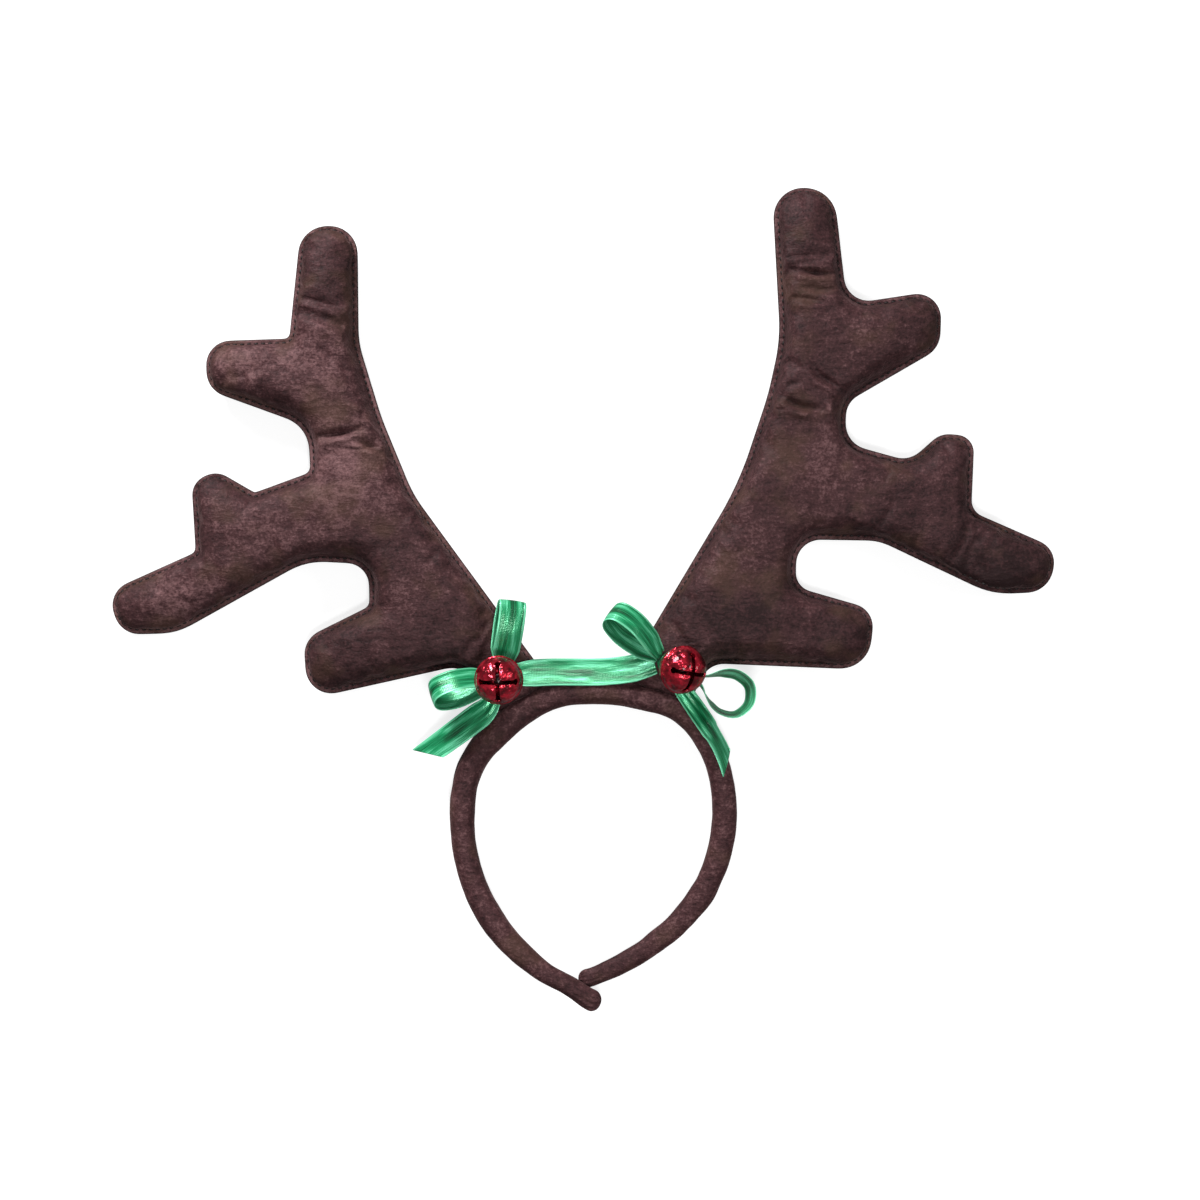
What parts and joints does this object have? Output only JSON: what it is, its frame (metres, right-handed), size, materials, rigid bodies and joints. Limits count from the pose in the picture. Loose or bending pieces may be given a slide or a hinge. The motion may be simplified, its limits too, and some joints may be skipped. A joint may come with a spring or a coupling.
{
  "type": "reindeer antler headband",
  "caption": "Padded hair band with stuffed brown felt antlers, green satin ribbon bows and red jingle bells at the antlers' feet, to wear over the head.",
  "frame": {"origin": "bottom centre of the bounding box, on the surface that the headband lies on", "axes": "+Z out of the front of the headband, which lies on its back; +Y from the band towards the antlers' tips; +X to the right as seen from the front"},
  "size_m": [0.4148, 0.3618, 0.0499],
  "materials": {
    "felt": "brown fleece felt, matt and slightly mottled",
    "satin": "green satin ribbon, silky",
    "red_metal": "glossy red lacquer on thin metal",
    "brass": "bare wire, bright",
    "steel": "plain"
  },
  "bodies": {
    "root": {"antler_left_back": "felt", "antler_left_front": "felt", "antler_right_back": "felt", "antler_right_front": "felt", "band": "felt", "bow_left_knot": "satin", "bow_left_outer_loop": "satin", "bow_left_tail": "satin", "bow_left_upper_loop": "satin", "bow_right_knot": "satin", "bow_right_ring_loop": "satin", "bow_right_tail": "satin", "bow_right_upper_loop": "satin", "crown_ribbon": "satin", "bell_left": "red_metal", "bell_right": "red_metal", "bell_left_shank": "brass", "bell_right_shank": "brass", "bell_left_pellet": "steel", "bell_right_pellet": "steel"}
  },
  "joints": []
}
